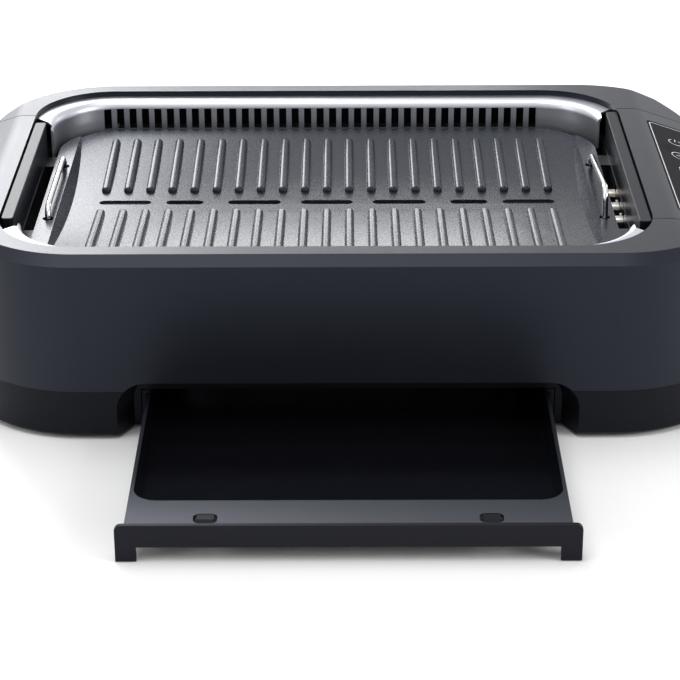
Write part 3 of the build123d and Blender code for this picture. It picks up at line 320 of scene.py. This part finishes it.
glass_black = (0.014, 0.013, 0.015)
glass_smeared = (0.020, 0.019, 0.020)
glass = Finish("touch_glass", glass_black, Coat_Roughness=0.03, Specular_IOR_Level=0.0)
smears = glass.noise(0.02, 4.0, (1.4, 0.7, 1))
smears_fine = glass.noise(0.0012, 2.0, (1, 3, 1))
glass.feed("Roughness", smears.above(0.5, 0.3) * (smears_fine * 0.16 + 0.06) + 0.06)
glass.feed("Coat Weight", 0.12 - smears.above(0.5, 0.3) * 0.08)
glass.feed("Base Color", glass.mixed(smears * 0.5, glass_black, glass_smeared))
glass.relief(smears_fine, 0.000004, 0.3)
dress(glass.material, "touch_glass")

# Print on the glass: a fine frame line, plain key symbols for power, more, less and fan, and three digits.
# It is white ink, laid flat along each line and only as thick as a coat of paint.

shoulder = math.radians(18.5)
glass_t = 0.0012
ink_t = 0.00006
ink_sunk = ink_t / 2
stroke = 0.0007
frame_stroke = 0.00028
low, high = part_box("touch_glass")
glass_mid = (Vector(low) + Vector(high)) / 2
glass_up = Vector((math.sin(shoulder), 0, math.cos(shoulder)))
glass_across = Vector((math.cos(shoulder), 0, -math.sin(shoulder)))
on_glass = Matrix.Translation(glass_mid + glass_up * (glass_t + ink_t - ink_sunk) / 2) @ Matrix(
    (glass_across, Vector((0, 1, 0)), glass_up)).transposed().to_4x4()
print_lines = []


def arc(x, y, r, start, end, steps=24):
    """Points along part of a circle, with its angles in degrees."""
    turns = [math.radians(start + (end - start) * n / steps) for n in range(steps + 1)]
    return [(x + r * math.cos(a), y + r * math.sin(a)) for a in turns]


def line(points, closed=False, width=stroke):
    """One printed line on the glass."""
    print_lines.append((points, closed, width))


def ring(x, y, r, steps=24):
    """One printed circle on the glass."""
    line(arc(x, y, r, 0, 360, steps)[:-1], True)


frame_inset = 0.0022
frame_corner = 0.003
frame_x = (high[0] - low[0]) / math.cos(shoulder) / 2 - frame_inset
frame_y = (high[1] - low[1]) / 2 - frame_inset
outline = []
for sx, sy, start in ((1, 1, 0), (-1, 1, 90), (-1, -1, 180), (1, -1, 270)):
    outline += arc(sx * (frame_x - frame_corner), sy * (frame_y - frame_corner), frame_corner,
                   start, start + 90, 6)
line(outline, True, frame_stroke)

key_r = 0.0052
key_pitch = 0.029
power_y, more_y, digits_y, less_y, fan_y = [(2 - n) * key_pitch for n in range(5)]
line(arc(0, power_y, key_r, 120, 420))
line([(0, power_y + key_r * 1.2), (0, power_y + key_r * 0.25)])
for y in (more_y, less_y):
    line([(-key_r * 0.7, y), (key_r * 0.7, y)])
    ring(0, y, key_r * 1.3)
line([(0, more_y - key_r * 0.7), (0, more_y + key_r * 0.7)])

blade_out = key_r * 0.62
blade_r = key_r * 0.48
hub_r = key_r * 0.2
for way in (0, 90, 180, 270):
    blade_x = blade_out * math.cos(math.radians(way))
    blade_y = fan_y + blade_out * math.sin(math.radians(way))
    line(arc(blade_x, blade_y, blade_r, way - 160, way + 60, 12))
ring(0, fan_y, hub_r, 12)

digit_w, digit_h = 0.0042, 0.0080
digit_pitch = digit_w * 1.6
bars = {
    "a": ((0, 1), (1, 1)), "b": ((1, 1), (1, 0.5)), "c": ((1, 0.5), (1, 0)), "d": ((0, 0), (1, 0)),
    "e": ((0, 0.5), (0, 0)), "f": ((0, 1), (0, 0.5)), "g": ((0, 0.5), (1, 0.5)),
}
lit_bars = ("bc", "abcdefg", "abcdef")
for place, letters in enumerate(lit_bars):
    left = (place - len(lit_bars) / 2) * digit_pitch + (digit_pitch - digit_w) / 2
    for letter in letters:
        line([(left + x * digit_w, digits_y + (y - 0.5) * digit_h) for x, y in bars[letter]])

ink = Finish("print_ink", (0.56, 0.57, 0.60))
ink_dots = ink.noise(0.0004, 1.0)
ink.feed("Base Color", ink.mixed(ink_dots, (0.50, 0.51, 0.54), (0.62, 0.63, 0.66)))
ink.feed("Roughness", ink_dots * 0.2 + 0.35)
ink.relief(ink_dots, 0.00001, 0.4)

print_tree = bpy.data.node_groups.new("printed_lines", "GeometryNodeTree")
print_tree.interface.new_socket("Paths", in_out="INPUT", socket_type="NodeSocketGeometry")
width_input = print_tree.interface.new_socket("Line width", in_out="INPUT", socket_type="NodeSocketFloat")
depth_input = print_tree.interface.new_socket("Ink depth", in_out="INPUT", socket_type="NodeSocketFloat")
print_tree.interface.new_socket("Print", in_out="OUTPUT", socket_type="NodeSocketGeometry")
given = print_tree.nodes.new("NodeGroupInput")
paths, line_width, ink_depth = [Wire(print_tree, socket) for socket in given.outputs[:3]]
share = paths.node("GeometryNodeInputNamedAttribute", {"Name": "width_share"}, data_type="FLOAT")
route = paths.node("GeometryNodeMeshToCurve", {"Mesh": paths})
route = paths.node("GeometryNodeSetCurveNormal", {"Curve": route}, mode="Z_UP")
route = paths.node("GeometryNodeSetCurveRadius", {"Curve": route, "Radius": share})
section = paths.node("GeometryNodeCurvePrimitiveQuadrilateral", {"Width": line_width, "Height": ink_depth})
printed = paths.node("GeometryNodeCurveToMesh", {"Curve": route, "Profile Curve": section, "Fill Caps": True})
printed = paths.node("GeometryNodeRealizeInstances", {"Geometry": printed})
printed = paths.node("GeometryNodeSetMaterial", {"Geometry": printed, "Material": ink.material})
result = print_tree.nodes.new("NodeGroupOutput")
print_tree.links.new(printed.socket, result.inputs[0])

spots, edges, shares = [], [], []
for points, closed, width in print_lines:
    first = len(spots)
    spots += [(x, y, 0) for x, y in points]
    edges += [(n, n + 1) for n in range(first, len(spots) - 1)]
    if closed:
        edges.append((len(spots) - 1, first))
    shares += [width / stroke] * len(points)
path_mesh = bpy.data.meshes.new("print_paths")
path_mesh.from_pydata(spots, edges, [])
path_mesh.attributes.new("width_share", "FLOAT", "POINT").data.foreach_set("value", shares)
path_object = bpy.data.objects.new("print_paths", path_mesh)
bpy.context.scene.collection.objects.link(path_object)
printer = path_object.modifiers.new("printed_lines", "NODES")
printer.node_group = print_tree
printer[width_input.identifier] = stroke
printer[depth_input.identifier] = ink_t + ink_sunk
ink_mesh = bpy.data.meshes.new_from_object(path_object.evaluated_get(bpy.context.evaluated_depsgraph_get()))
bpy.data.objects.remove(path_object)
bpy.data.meshes.remove(path_mesh)
ink_mesh.transform(on_glass)
glass_print = bpy.data.objects.new("glass_print", ink_mesh)
bpy.context.scene.collection.objects.link(glass_print)
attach(glass_print, "housing")

# Studio: a pale paper floor, soft boxes and the camera of the photograph.
# The main soft box hangs behind the left corner, so that flat tops catch its sheen. The air is white to the
# camera and in reflections, and dimmer where it lights the grill.

floor_size = 12.0
floor_mesh = bpy.data.meshes.new("studio_floor")
half = floor_size / 2
floor_mesh.from_pydata([(-half, -half, 0), (half, -half, 0), (half, half, 0), (-half, half, 0)], [],
                       [(0, 1, 2, 3)])
floor = bpy.data.objects.new("studio_floor", floor_mesh)
bpy.context.scene.collection.objects.link(floor)
paper = Finish("studio_paper", (0.93, 0.93, 0.93), Roughness=0.7, Specular_IOR_Level=0.2)
paper.feed("Base Color", paper.mixed(paper.noise(0.3), (0.92, 0.92, 0.92), (0.94, 0.94, 0.94)))
floor.data.materials.append(paper.material)


def soft_box(name, place, target, size, power):
    """A rectangular soft light aimed at a point."""
    light = bpy.data.lights.new(name, "AREA")
    light.shape = "RECTANGLE"
    light.size, light.size_y = size
    light.energy = power
    lamp = bpy.data.objects.new(name, light)
    lamp.location = place
    aim = Vector(target) - Vector(place)
    lamp.rotation_euler = aim.to_track_quat("-Z", "Y").to_euler()
    lamp.visible_camera = False
    bpy.context.scene.collection.objects.link(lamp)


soft_box("rear_left_box", place=(-0.72, 1.62, 1.16), target=(-0.1, 0.0, 0.1), size=(0.9, 1.2), power=34.0)
soft_box("rear_low_box", place=(-0.05, 1.62, 0.46), target=(0.0, 0.1, 0.13), size=(0.6, 0.16), power=2.6)
soft_box("rear_right_box", place=(1.35, 1.50, 0.66), target=(0.2, 0.0, 0.13), size=(0.5, 0.5), power=2.5)
soft_box("top_box", place=(-0.4, -0.2, 2.0), target=(0.0, 0.0, 0.0), size=(2.0, 1.6), power=25.0)
soft_box("right_box", place=(1.7, -0.9, 0.8), target=(0.1, -0.1, 0.1), size=(0.8, 1.0), power=17.0)
soft_box("left_box", place=(-1.7, -0.9, 0.8), target=(-0.1, -0.1, 0.1), size=(0.8, 1.0), power=6.0)

world = bpy.data.worlds.new("studio_air")
bpy.context.scene.world = world
world.use_nodes = True
air = Wire(world.node_tree)
seen, mirrored, through = [air.node("ShaderNodeLightPath", output=name)
                           for name in ("Is Camera Ray", "Is Glossy Ray", "Is Transmission Ray")]
white_rays = air.maths("MAXIMUM", air.maths("MAXIMUM", seen, mirrored), through)
soft_air = 0.45
background = world.node_tree.nodes["Background"]
background.inputs["Color"].default_value = (1, 1, 1, 1)
world.node_tree.links.new((white_rays * (1 - soft_air) + soft_air).socket, background.inputs["Strength"])

camera_place = (-0.001, -1.5075, 0.694)
pitch_deg = 25.0
yaw_deg = 0.176
roll_deg = -0.23
focal_px = 2273.18
frame_px = 680
sensor_mm = 36.0
camera_data = bpy.data.cameras.new("photo_camera")
camera_data.sensor_width = sensor_mm
camera_data.lens = focal_px / frame_px * sensor_mm
camera = bpy.data.objects.new("photo_camera", camera_data)
camera.location = camera_place
turn = Matrix.Rotation(math.radians(yaw_deg), 4, "Z") @ Matrix.Rotation(math.radians(90 - pitch_deg), 4, "X")
camera.rotation_euler = (turn @ Matrix.Rotation(math.radians(roll_deg), 4, "Z")).to_euler()
bpy.context.scene.collection.objects.link(camera)
bpy.context.scene.camera = camera
bpy.context.scene.view_settings.view_transform = "Standard"
